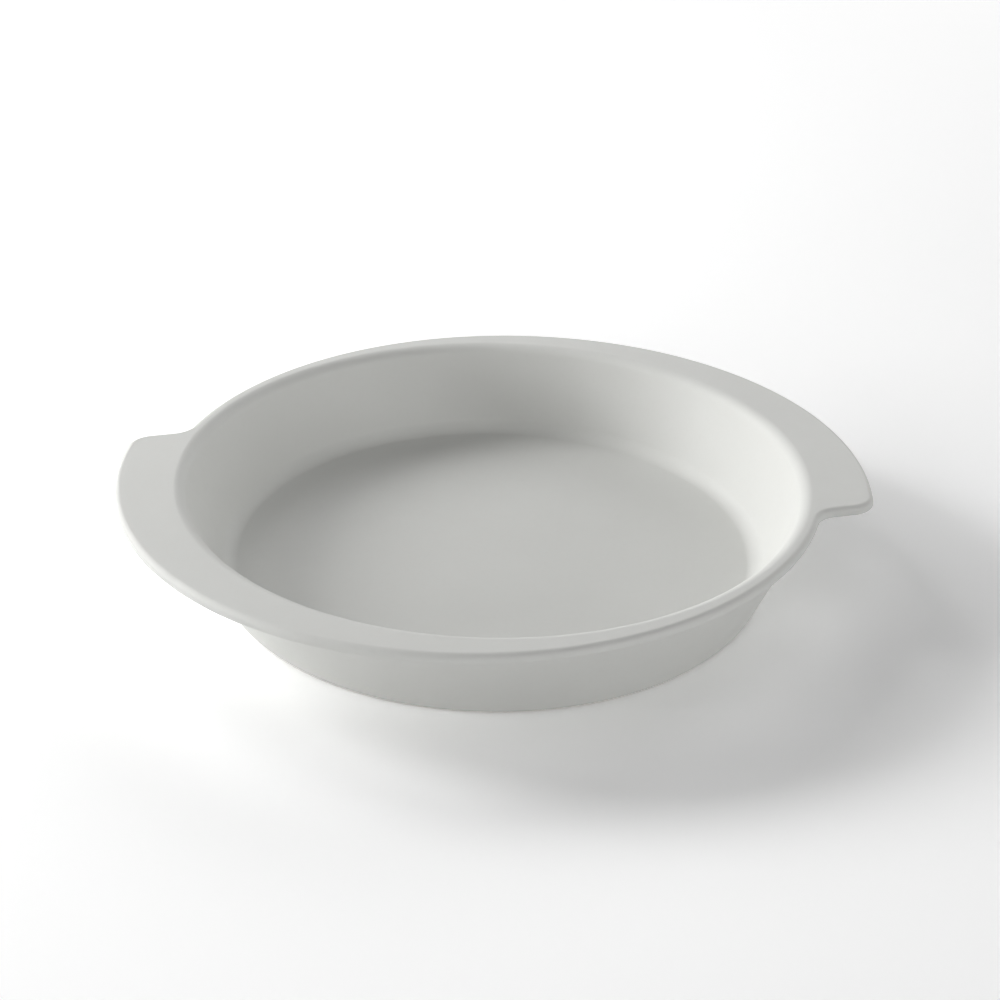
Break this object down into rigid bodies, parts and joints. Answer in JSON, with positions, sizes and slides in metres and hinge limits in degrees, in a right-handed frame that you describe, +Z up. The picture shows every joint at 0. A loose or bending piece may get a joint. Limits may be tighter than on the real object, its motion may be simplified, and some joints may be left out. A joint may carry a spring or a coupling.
{
  "type": "baking dish",
  "caption": "Round flared ceramic baking dish whose flat rim swells into crescent lug handles at opposite sides.",
  "frame": {"origin": "on the table under the middle of the dish: where the dish's axis meets the plane that the foot ring stands on", "axes": "+Z up along the dish's axis, +X out through the right handle, +Y away from the viewer of the picture"},
  "size_m": [0.3302, 0.301, 0.046],
  "materials": {
    "glaze": "satin white glaze with a faint eggshell texture",
    "clay": "matt bare clay, wiped clean of glaze where the dish stands"
  },
  "bodies": {
    "root": {"floor_disc": "glaze", "side_wall": "glaze", "rim_band": "glaze", "handle_right": "glaze", "handle_left": "glaze", "foot_ring": "clay"}
  },
  "joints": []
}
